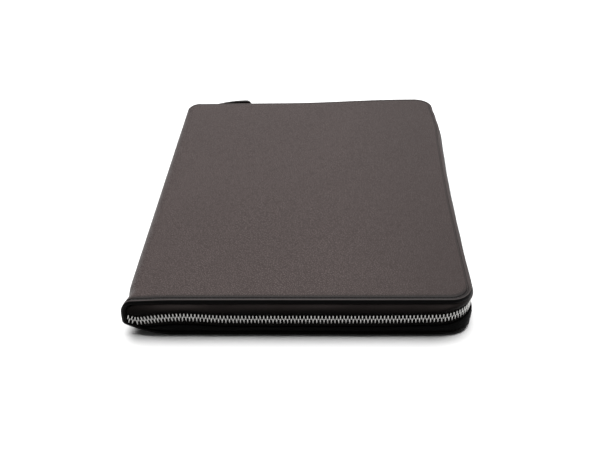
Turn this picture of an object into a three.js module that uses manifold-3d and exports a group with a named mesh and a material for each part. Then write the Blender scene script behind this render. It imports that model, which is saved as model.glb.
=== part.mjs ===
// A slim zip-around document case in pebbled leather, lying flat and closed.
// X runs from the spine to the zip side, Y along the spine, Z up. Sizes are in millimetres.
import * as THREE from "three";
import { mergeVertices, toCreasedNormals } from "three/addons/utils/BufferGeometryUtils.js";
import Module from "manifold-3d";

const wasm = await Module();
wasm.setup();

// The whole case, rim to rim.
const CASE_LENGTH = 342;
const CASE_WIDTH = 255;
const CASE_HEIGHT = 32.2;
const SEAT_GAP = 0.3;

// The cover: one wrap of padded leather, with a stitched crease behind its rolled rim.
const COVER_WALL = 3;
const RIM_CORNER = 17;
const CREASE_INSET = 4.3;
const CREASE_DEPTH = 0.6;

// The spine: a round shoulder above, a tighter fold below that holds the bottom panel off the floor.
// Its open front end stands fuller and squarer than the rest.
const SHOULDER_REACH = 14;
const SHOULDER_START = 16;
const SHOULDER_SQUARENESS = 2.1;
const END_SHOULDER_REACH = 9.5;
const END_SHOULDER_START = 19;
const END_FLARE = 0.8;
const END_SPREAD = 9;
const FOLD_RADIUS = 4.2;
const FOLD_LIFT = 10.9;
const LIFT_REACH = 37;

// How the case has settled with use.
const BACK_SAG = 2.9;
const SPINE_SAG = 1.2;
const SPINE_SAG_REACH = 38;
const SAG_START = 20;
const SAG_RISE = 1.5;
const SAG_FADE_FROM = 0.42;
const SAG_FADE_TO = 0.88;
const EAR_LIFT = 2.4;
const EAR_REACH = 30;
const EAR_TOP = 16;
const SIDE_BOW = 1.4;
const EAR_FLARE = 1.8;
const SPINE_PINCH = 1.4;
const PINCH_AT = 17;
const PINCH_SPREAD = 8;
const PINCH_REACH = 0.25;

// The zip: a metal chain between two woven tapes.
const ZIP_LEVEL = 16.4;
const ZIP_CORNER = 26.7;
const CHAIN_OUT = 0.7;
const CHAIN_WIDTH = 6.4;
const CHAIN_THICKNESS = 2.6;
const CHAIN_CHAMFER = 0.6;
const TAPE_THICKNESS = 0.8;
const TAPE_OVERLAP = 2.5;
const CHAIN_START = 3.9;
const TAPE_START = 5.2;
const LOWER_TAPE_START = 8.5;
const ZIP_DIP = 2.3;
const DIP_AT = 11;
const DIP_SPREAD = 5;
const TUCK_IN = 1.5;
const TUCK_REACH = 30;

// The leather gussets that carry the tapes.
const GUSSET_THICKNESS = 1.4;
const GUSSET_TUCK = 0.5;
const UPPER_FULLNESS = 1.6;
const LOWER_FULLNESS = 1.8;
const UPPER_TAPE_SHOWN = 2.9;
const LOWER_TAPE_SHOWN = 4;
const GUSSET_START = 5.4;
const LOWER_GUSSET_START = 13;
const LEAST_GUSSET = 1;

// The slider, its link and the leather pull, at the back beside the spine.
const SLIDER_AT = 15;
const SLIDER_LENGTH = 11;
const SLIDER_WIDTH = 8;
const SLIDER_PLATE = 1.2;
const SLIDER_POST = 3;
const CROWN_LENGTH = 6;
const CROWN_WIDTH = 2.4;
const CROWN_WALL = 1.1;
const CROWN_PLAY = 0.8;
const LINK_WIRE = 1;
const LINK_LENGTH = 11;
const STRAP_LENGTH = 43.3;
const STRAP_WIDTH = 9;
const STRAP_THICKNESS = 2.5;
const STRAP_END_RADIUS = 3.5;
const STRAP_DROOP = 6.2;
const STRAP_RISE = THREE.MathUtils.degToRad(15.6);

// The rim's profile, from the edge inwards: inset as a share of the crease's inset,
// drop as a share of the crease's depth.
const RIM_PROFILE = [
  { inset: 0, drop: 2.2 },
  { inset: 0.1, drop: 1.1 },
  { inset: 0.3, drop: 0.35 },
  { inset: 0.55, drop: 0.1 },
  { inset: 0.85, drop: 0.45 },
  { inset: 1, drop: 1 },
  { inset: 1.15, drop: 0.45 },
  { inset: 1.5, drop: 0 },
  { inset: 2.4, drop: 0 },
];

// How far the zip side stands in or out along the case: at as a share of its length,
// bow and flare as shares of the sizes of the same names.
const SIDE_SHAPE = [
  { at: 0, bow: 0, flare: 0 },
  { at: 0.1, bow: -0.25, flare: 0 },
  { at: 0.25, bow: -0.7, flare: 0 },
  { at: 0.4, bow: -1, flare: 0 },
  { at: 0.55, bow: -0.6, flare: 0 },
  { at: 0.68, bow: -0.1, flare: 0.2 },
  { at: 0.81, bow: 0, flare: 1 },
  { at: 0.88, bow: 0, flare: 0.4 },
  { at: 0.93, bow: 0, flare: -0.3 },
  { at: 1, bow: 0, flare: -0.8 },
];

// Where the panels are divided between their rims and the spine, as shares of what each crosses.
const PANEL_SHARES = [0.8, 0.6, 0.4, 0.24];
const SAG_SHARES = [1, 0.6];
const LIFT_SHARES = [1.05, 0.8, 0.6, 0.42, 0.28, 0.16];
const LENGTH_SHARES = [0, 0.15, 0.3, 0.45, 0.6, 0.75, 0.88, 1];
const STRETCH_SHARES = [
  0.022, 0.034, 0.046, 0.058, 0.07, 0.085, 0.105, 0.135, 0.18, 0.27, 0.4, 0.55, 0.7, 0.85, 1,
];
const SIDE_STEPS = 12;
const CORNER_STEPS = 8;
const FOLD_STEPS = 4;
const FOLD_CLEARANCE = 1.5;
const SHOULDER_STEPS = 8;
const STRAP_STEPS = 7;

const { lerp, clamp, smoothstep } = THREE.MathUtils;
const halfLength = CASE_LENGTH / 2;
const bell = (distance, spread) => Math.exp(-((distance / spread) ** 2));

// How much of the spine's open front end is felt at a place along the case: 1 there, 0 further back.
const frontness = (y) => bell(y + halfLength, END_SPREAD);

// A smooth value between the rows of a table, read from one of its columns.
function tableValue(table, at, column) {
  const last = table.findIndex((row) => row.at >= at);
  if (last <= 0) return table[last < 0 ? table.length - 1 : 0][column];
  const before = table[last - 1];
  const after = table[last];
  return lerp(before[column], after[column], smoothstep(at, before.at, after.at));
}

// Moves a point of the regular case to where it lies in the settled one.
function settled(x, y, z) {
  const along = (y + halfLength) / CASE_LENGTH;
  const across = clamp(x / CASE_WIDTH, 0, 1);
  const side = SIDE_BOW * tableValue(SIDE_SHAPE, along, "bow")
    + EAR_FLARE * tableValue(SIDE_SHAPE, along, "flare");
  const pinch = SPINE_PINCH * bell(y + halfLength - PINCH_AT, PINCH_SPREAD)
    - END_FLARE * frontness(y);
  const towardsBack = clamp(along, 0, 1);
  const sag = BACK_SAG * towardsBack ** SAG_RISE * (1 - smoothstep(across, SAG_FADE_FROM, SAG_FADE_TO))
    + SPINE_SAG * (1 - towardsBack) * (1 - smoothstep(x, 0, SPINE_SAG_REACH));
  const height = clamp((z - SAG_START) / (CASE_HEIGHT - SAG_START), 0, 1);
  const ear = clamp(1 - (CASE_WIDTH - x) / EAR_REACH, 0, 1)
    * clamp(1 - (halfLength - Math.abs(y)) / EAR_REACH, 0, 1);
  return new THREE.Vector3(
    x + side * across ** 2 + pinch * clamp(1 - across / PINCH_REACH, 0, 1),
    y,
    z - sag * height + EAR_LIFT * ear * clamp(1 - z / EAR_TOP, 0, 1),
  );
}

// A closed solid lofted through rings. The first half of each ring runs along one face of a wall,
// the second half returns along the other, so that both ends close as a strip.
function loftedWall(rings) {
  const count = rings[0].length;
  const half = count / 2;
  const position = [];
  const index = [];
  for (const ring of rings) ring.forEach((point) => position.push(point.x, point.y, point.z));
  for (let ring = 0; ring + 1 < rings.length; ring++) {
    for (let k = 0; k < count; k++) {
      const a = ring * count + k;
      const b = ring * count + ((k + 1) % count);
      index.push(a, b, b + count, a, b + count, a + count);
    }
  }
  const last = (rings.length - 1) * count;
  for (let k = 0; k + 1 < half; k++) {
    const back = count - 1 - k;
    index.push(k, back, back - 1, k, back - 1, k + 1);
    index.push(last + k, last + back - 1, last + back, last + k, last + k + 1, last + back - 1);
  }
  const geometry = new THREE.BufferGeometry();
  geometry.setAttribute("position", new THREE.Float32BufferAttribute(position, 3));
  geometry.setIndex(index);
  return facingOut(geometry);
}

// Turns every face round if the solid's signed volume is negative.
function facingOut(geometry) {
  const { array } = geometry.getAttribute("position");
  const index = Array.from(geometry.index.array);
  const corner = (i) => new THREE.Vector3().fromArray(array, index[i] * 3);
  let volume = 0;
  for (let i = 0; i < index.length; i += 3) {
    volume += corner(i).dot(corner(i + 1).cross(corner(i + 2)));
  }
  if (volume < 0) {
    for (let i = 0; i < index.length; i += 3) {
      [index[i + 1], index[i + 2]] = [index[i + 2], index[i + 1]];
    }
  }
  geometry.setIndex(index);
  return geometry;
}

// The closed mesh of a geometry as a solid that can be joined to others.
function solidFrom(geometry) {
  const bare = geometry.clone().deleteAttribute("normal").deleteAttribute("uv");
  const merged = mergeVertices(bare, 1e-4);
  return new wasm.Manifold(new wasm.Mesh({
    numProp: 3,
    vertProperties: merged.getAttribute("position").array,
    triVerts: new Uint32Array(merged.index.array),
  }));
}

function geometryOf(solid) {
  const mesh = solid.getMesh();
  const geometry = new THREE.BufferGeometry();
  geometry.setAttribute("position", new THREE.Float32BufferAttribute(mesh.vertProperties, 3));
  geometry.setIndex(Array.from(mesh.triVerts));
  return geometry;
}

// The height of the bottom panel's underside: flat on the floor, lifted towards the spine.
const lift = (x) => FOLD_LIFT * Math.max(0, 1 - x / LIFT_REACH) ** 2;

// The bottom panel's downward normal at a distance from the spine.
function liftNormal(x) {
  const slope = (-2 * FOLD_LIFT * Math.max(0, 1 - x / LIFT_REACH)) / LIFT_REACH;
  return new THREE.Vector2(slope, -1).normalize();
}

// The lower fold's arc touches the lifted panel and the upright back of the spine.
function foldArc() {
  let touch = FOLD_RADIUS;
  for (let pass = 0; pass < 20; pass++) touch = FOLD_RADIUS * (1 + liftNormal(touch).x);
  const normal = liftNormal(touch);
  const centre = new THREE.Vector2(touch, lift(touch)).addScaledVector(normal, -FOLD_RADIUS);
  return { touch, centre, start: Math.atan2(normal.y, normal.x) };
}

// The spine's outer curve in section, from the bottom panel round to the top one.
function spineCurve(fullness) {
  const { centre, start } = foldArc();
  const reach = lerp(SHOULDER_REACH, END_SHOULDER_REACH, fullness);
  const foot = lerp(SHOULDER_START, END_SHOULDER_START, fullness);
  const points = [];
  for (let step = 0; step <= FOLD_STEPS; step++) {
    const angle = lerp(start, -Math.PI, step / FOLD_STEPS);
    const normal = new THREE.Vector2(Math.cos(angle), Math.sin(angle));
    points.push({ at: centre.clone().addScaledVector(normal, FOLD_RADIUS), normal });
  }
  const rise = CASE_HEIGHT - foot;
  const power = 2 / SHOULDER_SQUARENESS;
  for (let step = 0; step <= SHOULDER_STEPS; step++) {
    const angle = (Math.PI / 2) * (step / SHOULDER_STEPS);
    const across = Math.cos(angle) ** power;
    const up = Math.sin(angle) ** power;
    const normal = new THREE.Vector2(
      -(across ** (SHOULDER_SQUARENESS - 1)) / reach,
      up ** (SHOULDER_SQUARENESS - 1) / rise,
    ).normalize();
    const at = new THREE.Vector2(reach * (1 - across), foot + rise * up);
    points.push({ at, normal });
  }
  return points;
}

// The underside of the top wall and the upper side of the bottom one, where gussets and tapes meet them.
function ceiling(x, fullness) {
  const outer = lerp(SHOULDER_REACH, END_SHOULDER_REACH, fullness);
  const foot = lerp(SHOULDER_START, END_SHOULDER_START, fullness);
  const share = clamp((outer - x) / (outer - COVER_WALL), 0, 1);
  const rise = CASE_HEIGHT - COVER_WALL - foot;
  return foot + rise * (1 - share ** SHOULDER_SQUARENESS) ** (1 / SHOULDER_SQUARENESS);
}
const floorLevel = (x) => lift(x - COVER_WALL / 2) + COVER_WALL;

// Where a node of the rim's square grid lies in plan, with its rings bent round the corner.
function cornerPlan(rings, column, row) {
  const ring = Math.max(column, row);
  if (ring === 0) return new THREE.Vector2(0, 0);
  const turn = column >= row ? row / column / 2 : 1 - column / row / 2;
  const angle = (turn * Math.PI) / 2;
  return new THREE.Vector2(Math.cos(angle), Math.sin(angle)).multiplyScalar(rings[ring].radius);
}

// The cover's rings in plan, from the corner's centre out to the edge.
function rimRings() {
  const rings = RIM_PROFILE.map((row) => ({
    radius: RIM_CORNER - row.inset * CREASE_INSET,
    drop: row.drop * CREASE_DEPTH,
  }));
  rings.push({ radius: 0, drop: 0 });
  return rings.reverse();
}

// The cover: sections from front to back, each from the bottom rim round the spine to the top rim.
function coverGeometry() {
  const rings = rimRings();
  const edge = rings.length - 1;
  const cornerX = CASE_WIDTH - RIM_CORNER;
  const cornerY = halfLength - RIM_CORNER;
  const earX = CASE_WIDTH - EAR_REACH;
  const earY = halfLength - EAR_REACH;
  const rows = [];
  for (let ring = edge; ring >= 0; ring--) rows.push({ ring, side: -1, y: -cornerY });
  for (const share of LENGTH_SHARES) rows.push({ ring: 0, side: -1, y: lerp(-earY, earY, share) });
  for (let ring = 0; ring <= edge; ring++) rows.push({ ring, side: 1, y: cornerY });

  const { touch } = foldArc();
  const crossed = [earX, ...PANEL_SHARES.map((share) => share * cornerX)];
  const lifted = LIFT_SHARES.map((share) => share * LIFT_REACH).filter((x) => x > touch * FOLD_CLEARANCE);
  const below = [...crossed.filter((x) => x > lifted[0]), ...lifted];
  const sagged = SAG_SHARES.map((share) => share * SPINE_SAG_REACH);
  const above = [...crossed.filter((x) => x > sagged[0]), ...sagged].reverse();

  const sectionAt = (row) => {
    const outer = [];
    const inner = [];
    const add = (x, y, z, normal, drop) => {
      outer.push(settled(x - drop * normal.x, y, z - drop * normal.y));
      inner.push(settled(x - COVER_WALL * normal.x, y, z - COVER_WALL * normal.y));
    };
    const rowDrop = rings[row.ring].drop;
    const rowY = row.y + row.side * rings[row.ring].radius;
    const rimPoint = (ring, z, normal) => {
      const bend = cornerPlan(rings, ring, row.ring);
      const drop = rings[Math.max(ring, row.ring)].drop;
      add(cornerX + bend.x, row.y + row.side * bend.y, z, normal, drop);
    };
    const down = new THREE.Vector2(0, -1);
    const up = new THREE.Vector2(0, 1);
    for (let ring = edge; ring >= 0; ring--) rimPoint(ring, 0, down);
    for (const x of below) add(x, rowY, lift(x), liftNormal(x), rowDrop);
    for (const { at, normal } of spineCurve(frontness(rowY))) add(at.x, rowY, at.y, normal, rowDrop);
    for (const x of above) add(x, rowY, CASE_HEIGHT, up, rowDrop);
    for (let ring = 0; ring <= edge; ring++) rimPoint(ring, CASE_HEIGHT, up);
    return [...outer, ...inner.reverse()];
  };
  return loftedWall(rows.map(sectionAt));
}

// The stations of the zip's way round the three open sides, from the spine's front end to its back end.
// Every band has the same ones, after its own start, so that neighbours bend together.
function stations(frontStart, backStart) {
  const stretch = (part, start) => [0, ...STRETCH_SHARES]
    .map((share) => Math.max(start, share * (CASE_WIDTH - ZIP_CORNER)))
    .filter((x, i, all) => i === 0 || x > all[i - 1])
    .map((x) => ({ part, share: x / (CASE_WIDTH - ZIP_CORNER) }));
  const corner = (side) => Array.from({ length: CORNER_STEPS }, (_, step) => (
    { part: "corner", side, share: (step + 1) / CORNER_STEPS }
  ));
  const zipSide = Array.from({ length: SIDE_STEPS - 1 }, (_, step) => (
    { part: "side", share: (step + 1) / SIDE_STEPS }
  ));
  return [
    ...stretch("front", frontStart), ...corner(-1), ...zipSide,
    ...corner(1).reverse(), ...stretch("back", backStart).reverse(),
  ];
}

// A station's point in plan, on a rounded outline of the given corner radius, moved outwards.
function planPoint(station, radius, out) {
  const cornerX = CASE_WIDTH - radius;
  const cornerY = halfLength - radius;
  if (station.part === "side") {
    return new THREE.Vector2(CASE_WIDTH + out, lerp(-cornerY, cornerY, station.share));
  }
  if (station.part === "corner") {
    const angle = (1 - station.share) * (Math.PI / 2);
    const reach = radius + out;
    const along = cornerY + reach * Math.sin(angle);
    return new THREE.Vector2(cornerX + reach * Math.cos(angle), station.side * along);
  }
  const side = station.part === "front" ? -1 : 1;
  return new THREE.Vector2(station.share * cornerX, side * (halfLength + out));
}

// The middle of the chain at a station: it dips and tucks in beside the front of the spine.
function zipLine(station) {
  const { x } = planPoint(station, ZIP_CORNER, 0);
  if (station.part !== "front") return { x, level: ZIP_LEVEL, out: CHAIN_OUT };
  const tuck = TUCK_IN * (1 - smoothstep(x, CHAIN_START, TUCK_REACH));
  const spread = x < DIP_AT ? DIP_SPREAD : 2 * DIP_SPREAD;
  return { x, level: ZIP_LEVEL - ZIP_DIP * bell(x - DIP_AT, spread), out: CHAIN_OUT - tuck };
}

// A point of the zip or a gusset: blend is 0 on the rim's outline and 1 on the zip's.
function bandPoint(station, blend, out, z) {
  const plan = planPoint(station, lerp(RIM_CORNER, ZIP_CORNER, blend), out);
  return settled(plan.x, plan.y, z);
}

function chainGeometry() {
  const halfWidth = CHAIN_WIDTH / 2;
  const halfThick = CHAIN_THICKNESS / 2;
  const outer = [
    [halfThick - CHAIN_CHAMFER, -halfWidth],
    [halfThick, -halfWidth + CHAIN_CHAMFER],
    [halfThick, halfWidth - CHAIN_CHAMFER],
    [halfThick - CHAIN_CHAMFER, halfWidth],
  ];
  const section = [...outer, ...outer.map(([out, up]) => [-out, up]).reverse()];
  const backStart = SLIDER_AT - SLIDER_LENGTH / 2 + SLIDER_POST + SEAT_GAP;
  return loftedWall(stations(CHAIN_START, backStart).map((station) => {
    const line = zipLine(station);
    return section.map(([out, up]) => bandPoint(station, 1, line.out + out, line.level + up));
  }));
}

// What a gusset and its tape share at a station: side is 1 above the chain and -1 below it.
function gussetLine(station, side) {
  const line = zipLine(station);
  const fullness = station.part === "front" ? 1 : 0;
  const wall = side > 0 ? ceiling(line.x, fullness) : floorLevel(line.x);
  const rim = wall - side * SEAT_GAP;
  const shown = side > 0 ? UPPER_TAPE_SHOWN : LOWER_TAPE_SHOWN;
  const free = line.level + side * (CHAIN_WIDTH / 2 + shown);
  const least = rim - side * LEAST_GUSSET;
  const edge = side > 0 ? Math.min(free, least) : Math.max(free, least);
  const faceOut = line.out + TAPE_THICKNESS / 2 + GUSSET_THICKNESS;
  const curve = side > 0 ? UPPER_FULLNESS : LOWER_FULLNESS;
  return { ...line, rim, edge, faceOut, curve };
}

// How far out the gusset's face stands: full at its free edge, tucked under the rim at the other.
function gussetOut(line, share) {
  return lerp(line.faceOut, -GUSSET_TUCK, share ** line.curve);
}

function gussetGeometry(side, frontStart, backStart) {
  const shares = [0, 0.25, 0.5, 0.75, 1];
  return loftedWall(stations(frontStart, backStart).map((station) => {
    const line = gussetLine(station, side);
    const face = (depth) => shares.map((share) => bandPoint(
      station, 1 - share, gussetOut(line, share) - depth, lerp(line.edge, line.rim, share),
    ));
    return [...face(0), ...face(GUSSET_THICKNESS).reverse()];
  }));
}

function tapeGeometry(side, frontStart, backStart) {
  return loftedWall(stations(frontStart, backStart).map((station) => {
    const line = gussetLine(station, side);
    const beside = line.level + side * (CHAIN_WIDTH / 2 + SEAT_GAP);
    const height = Math.abs(line.rim - line.edge);
    const hidden = Math.min(TAPE_OVERLAP, height);
    const overlaps = [0, 0.5, 1].map((share) => (share * hidden) / height);
    const face = (depth) => [
      bandPoint(station, 1, line.out + TAPE_THICKNESS / 2 - depth, beside),
      ...overlaps.map((share) => bandPoint(
        station,
        1 - share,
        gussetOut(line, share) - GUSSET_THICKNESS - SEAT_GAP - depth,
        lerp(line.edge, line.rim, share),
      )),
    ];
    return [...face(0), ...face(TAPE_THICKNESS).reverse()];
  }));
}

// A closed outline extruded through a depth about its own middle.
function extruded(shape, depth, curveSegments = 6) {
  const geometry = new THREE.ExtrudeGeometry(shape, { depth, bevelEnabled: false, curveSegments });
  return geometry.translate(0, 0, -depth / 2);
}

function rectangle(left, bottom, right, top) {
  const shape = new THREE.Shape();
  shape.moveTo(left, bottom);
  shape.lineTo(right, bottom);
  shape.lineTo(right, top);
  shape.lineTo(left, top);
  shape.closePath();
  return shape;
}

// The slider in its own frame: X along the chain, Y outwards, Z up, centred on the chain.
const plateInner = CHAIN_THICKNESS / 2 + SEAT_GAP;
const plateOuter = plateInner + SLIDER_PLATE;
const crownInner = plateOuter + LINK_WIRE + CROWN_PLAY + SEAT_GAP;

function sliderGeometry() {
  const half = SLIDER_LENGTH / 2;
  const body = rectangle(-half, -plateOuter, half, plateOuter);
  const tunnel = rectangle(SLIDER_POST - half, -plateInner, half + 1, plateInner);
  const plates = solidFrom(extruded(body, SLIDER_WIDTH))
    .subtract(solidFrom(extruded(tunnel, SLIDER_WIDTH + 2)));
  const slots = [-1, 1].map((side) => {
    const slot = rectangle(-half - 1, -plateInner, half + 1, plateInner);
    const width = (SLIDER_WIDTH - SLIDER_POST) / 2;
    return solidFrom(extruded(slot, width).translate(0, 0, side * (SLIDER_POST + width) / 2));
  });
  const foot = CROWN_LENGTH / 2;
  const inside = foot - CROWN_WALL;
  const arch = rectangle(-foot, plateOuter - SLIDER_PLATE / 2, foot, crownInner + CROWN_WALL);
  const eye = rectangle(-inside, plateOuter, inside, crownInner);
  const crown = solidFrom(extruded(arch, CROWN_WIDTH))
    .subtract(solidFrom(extruded(eye, CROWN_WIDTH + 2)));
  return geometryOf(plates.subtract(slots[0]).subtract(slots[1]).add(crown));
}

// The link is a flat ring: its near bar runs through the crown, its far bar through the strap's fold.
const linkInnerLength = LINK_LENGTH - 2 * LINK_WIRE;
const linkInnerWidth = STRAP_WIDTH + 2 * SEAT_GAP;

function linkGeometry() {
  const inner = linkInnerWidth / 2;
  const side = inner + LINK_WIRE;
  const outer = rectangle(-LINK_WIRE, -side, linkInnerLength + LINK_WIRE, side);
  outer.holes.push(rectangle(0, -inner, linkInnerLength, inner));
  return extruded(outer, LINK_WIRE).rotateX(Math.PI / 2);
}

// The strap is one strip folded round the link and stitched to itself, with a rounded end.
// Beyond its loop it droops along a parabola, in the plane of its width.
function strapGeometry() {
  const eye = LINK_WIRE * Math.SQRT1_2 + SEAT_GAP;
  const loop = eye + STRAP_THICKNESS / 2;
  const half = STRAP_THICKNESS / 2;
  const throat = 2 * loop;
  const turn = 2 * Math.asin(half / loop);
  const fold = new THREE.Shape();
  fold.moveTo(throat, half);
  fold.lineTo(loop * Math.cos(turn), loop * Math.sin(turn));
  fold.absarc(0, 0, loop, turn, 2 * Math.PI - turn, false);
  fold.lineTo(throat, -half);
  fold.closePath();
  const hole = new THREE.Path();
  hole.absarc(0, 0, eye, 0, 2 * Math.PI, true);
  fold.holes.push(hole);

  const straight = STRAP_LENGTH - STRAP_END_RADIUS;
  const places = [throat - half];
  for (let step = 0; step <= STRAP_STEPS; step++) places.push(lerp(throat, straight, step / STRAP_STEPS));
  for (let step = 1; step <= STRAP_STEPS; step++) {
    places.push(straight + STRAP_END_RADIUS * Math.sin((step / STRAP_STEPS) * (Math.PI / 2)));
  }
  const tongue = loftedWall(places.map((x) => {
    const past = Math.max(0, x - straight);
    const rounding = STRAP_END_RADIUS - Math.sqrt(Math.max(0, STRAP_END_RADIUS ** 2 - past ** 2));
    const width = STRAP_WIDTH / 2 - rounding;
    const droop = STRAP_DROOP * Math.max(0, (x - throat) / (STRAP_LENGTH - throat)) ** 2;
    const corners = [[half, -width], [half, width], [-half, width], [-half, -width]];
    return corners.map(([out, up]) => new THREE.Vector3(x, out, up - droop));
  }));
  return geometryOf(solidFrom(extruded(fold, STRAP_WIDTH, 10)).add(solidFrom(tongue)));
}

const leather = (color, roughness) => new THREE.MeshStandardMaterial({ color, roughness, metalness: 0 });
const coverLeather = leather("#4a3f3b", 0.55);
const gussetLeather = leather("#2b2523", 0.4);
const pullLeather = leather("#332c29", 0.5);
const wovenTape = leather("#1d1a19", 0.9);
const nickel = new THREE.MeshStandardMaterial({ color: "#c9c9c6", roughness: 0.25, metalness: 1 });

function piece(name, geometry, material) {
  const mesh = new THREE.Mesh(toCreasedNormals(geometry, 0.5), material);
  mesh.name = name;
  return mesh;
}

const documentCase = new THREE.Group();
documentCase.add(
  piece("cover", coverGeometry(), coverLeather),
  piece("gusset_upper", gussetGeometry(1, GUSSET_START, GUSSET_START), gussetLeather),
  piece("gusset_lower", gussetGeometry(-1, LOWER_GUSSET_START, LOWER_GUSSET_START), gussetLeather),
  piece("zip_tape_upper", tapeGeometry(1, TAPE_START, TAPE_START), wovenTape),
  piece("zip_tape_lower", tapeGeometry(-1, LOWER_TAPE_START, LOWER_TAPE_START), wovenTape),
  piece("zip_chain", chainGeometry(), nickel),
);

// The slider, link and pull share a frame on the chain; the link and pull tilt up together.
const fitting = new THREE.Group();
fitting.position.set(SLIDER_AT, halfLength + CHAIN_OUT, ZIP_LEVEL);
const pull = new THREE.Group();
pull.position.set(0, crownInner - SEAT_GAP - LINK_WIRE / 2, 0);
pull.rotation.y = -STRAP_RISE;
const link = piece("pull_link", linkGeometry(), nickel);
link.position.x = LINK_WIRE / 2;
const strap = piece("pull_strap", strapGeometry(), pullLeather);
strap.position.x = linkInnerLength + LINK_WIRE;
pull.add(link, strap);
fitting.add(piece("zip_slider", sliderGeometry(), nickel), pull);
documentCase.add(fitting);

// The origin is the middle of the whole case's footprint, on the floor.
documentCase.updateMatrixWorld(true);
const box = new THREE.Box3().setFromObject(documentCase, true);
documentCase.position.set(-(box.min.x + box.max.x) / 2, -(box.min.y + box.max.y) / 2, -box.min.z);

export default documentCase;
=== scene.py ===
"""A slim zip-around document case in pebbled leather, lying flat and closed.

Shapes are worked out in millimetres in the case's own frame: X from the spine to the zip side, Y along the
spine, Z up. `placed` turns them into metres about the middle of the case's footprint.
"""

import math

import bmesh
import bpy
import numpy as np
from mathutils import Matrix, Vector


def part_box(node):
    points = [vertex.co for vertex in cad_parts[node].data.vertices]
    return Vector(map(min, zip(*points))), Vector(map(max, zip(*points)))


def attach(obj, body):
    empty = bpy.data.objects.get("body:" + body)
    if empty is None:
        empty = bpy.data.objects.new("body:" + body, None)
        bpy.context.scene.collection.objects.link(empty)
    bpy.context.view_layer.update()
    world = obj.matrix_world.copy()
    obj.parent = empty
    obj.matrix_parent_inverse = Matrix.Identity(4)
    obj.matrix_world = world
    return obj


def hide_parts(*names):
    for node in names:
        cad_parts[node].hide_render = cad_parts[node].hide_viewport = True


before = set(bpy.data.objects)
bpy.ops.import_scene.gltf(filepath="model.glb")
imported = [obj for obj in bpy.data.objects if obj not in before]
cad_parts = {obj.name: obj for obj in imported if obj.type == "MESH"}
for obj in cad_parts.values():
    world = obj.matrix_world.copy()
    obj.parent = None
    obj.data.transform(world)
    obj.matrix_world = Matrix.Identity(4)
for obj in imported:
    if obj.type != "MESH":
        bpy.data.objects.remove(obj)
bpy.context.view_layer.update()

# Sizes in millimetres.
CASE_LENGTH, CASE_WIDTH, CASE_HEIGHT = 342.0, 255.0, 32.2
HALF_LENGTH = CASE_LENGTH / 2
GAP = 0.3

COVER_WALL = 3.0
RIM_CORNER = 17.0
EDGE_DROP, EDGE_ROLL = 1.32, 1.3
CREASE_INSET, CREASE_DEPTH, CREASE_WIDTH = 3.3, 0.6, 0.55
HOLLOW_DEPTH, HOLLOW_WIDTH = 0.1, 2.2
EDGE_BULGE = 0.35

SHOULDER_REACH, SHOULDER_START, SHOULDER_SQUARENESS = 14.0, 16.0, 2.1
END_SHOULDER_REACH, END_SHOULDER_START, END_FLARE, END_SPREAD = 9.5, 19.0, 0.8, 9.0
FOLD_RADIUS, FOLD_LIFT, LIFT_REACH = 4.2, 10.9, 37.0

BACK_SAG, SAG_START, SAG_RISE, SAG_FADE = 2.9, 20.0, 1.5, (0.42, 0.88)
SPINE_SAG, SPINE_SAG_REACH = 1.2, 38.0
EAR_LIFT, EAR_REACH, EAR_TOP = 2.4, 30.0, 16.0
SIDE_BOW, EAR_FLARE = 1.4, 1.8
SPINE_PINCH, PINCH_AT, PINCH_SPREAD, PINCH_REACH = 1.4, 17.0, 8.0, 0.25

ZIP_LEVEL, ZIP_CORNER, CHAIN_OUT = 16.4, 26.7, 0.7
CHAIN_WIDTH, TOOTH_PITCH, TAPE_THICKNESS, TAPE_OVERLAP = 6.4, 2.64, 0.8, 2.5
CHAIN_START, TAPE_START, LOWER_TAPE_START = 3.9, 5.2, 8.5
ZIP_DIP, DIP_AT, DIP_SPREAD = 2.3, 11.0, 5.0
TUCK_IN, TUCK_REACH = 1.5, 30.0
ZIP_SWELLS = ((45.0, 19.5, 1.9), (238.0, 32.0, 1.1))  # place along the zip, reach, height
INTERLOCK_DROP = 0.65
TAPE_START_LEVEL, TAPE_UNDERLAP, TAPE_BELLY = 1.9, 0.6, 0.105

GUSSET_THICKNESS, GUSSET_TUCK = 1.4, 0.15
UPPER_FULLNESS, LOWER_FULLNESS = 1.6, 1.8
UPPER_TAPE_SHOWN, LOWER_TAPE_SHOWN = 2.9, 4.0
GUSSET_START, LOWER_GUSSET_START, LEAST_GUSSET = 5.4, 13.0, 1.0
END_GATHER, GATHER_FROM, GATHER_TO = 2.0, 4.0, 14.0

SLIDER_AT, SLIDER_LENGTH, SLIDER_WIDTH, SLIDER_PLATE = 15.0, 11.0, 8.0, 1.2
CHAIN_THICKNESS = 2.6
CROWN_LENGTH, CROWN_WIDTH, CROWN_WALL, CROWN_PLAY = 6.0, 2.4, 1.1, 0.8
LINK_WIRE, LINK_LENGTH = 1.0, 11.0
STRAP_LENGTH, STRAP_WIDTH, STRAP_THICKNESS, STRAP_END_RADIUS = 43.3, 9.0, 2.5, 3.5
STRAP_DROOP, STRAP_RISE = 6.2, math.radians(16.6)

# How far the zip side stands in or out: place along the case, bow, flare.
SIDE_SHAPE = np.array([
    (0, 0, 0), (0.1, -0.25, 0), (0.25, -0.7, 0), (0.4, -1, 0), (0.55, -0.6, 0),
    (0.68, -0.1, 0.2), (0.81, 0, 1), (0.88, 0, 0.4), (0.93, 0, -0.3), (1, 0, -0.8),
])

METRE = 1000.0  # millimetres

# Where the frame's solids put the case's own origin: from the slider's middle and the cover's end.
slider_low, slider_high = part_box("zip_slider")
FOOTPRINT = np.array([
    (slider_low.x + slider_high.x) / 2 * METRE - SLIDER_AT,
    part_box("cover")[1].y * METRE - HALF_LENGTH,
    0,
])


def placed(points):
    """Points of the case's own frame in metres about the middle of its footprint."""
    return (points + FOOTPRINT) / METRE


# The case's form.


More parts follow.
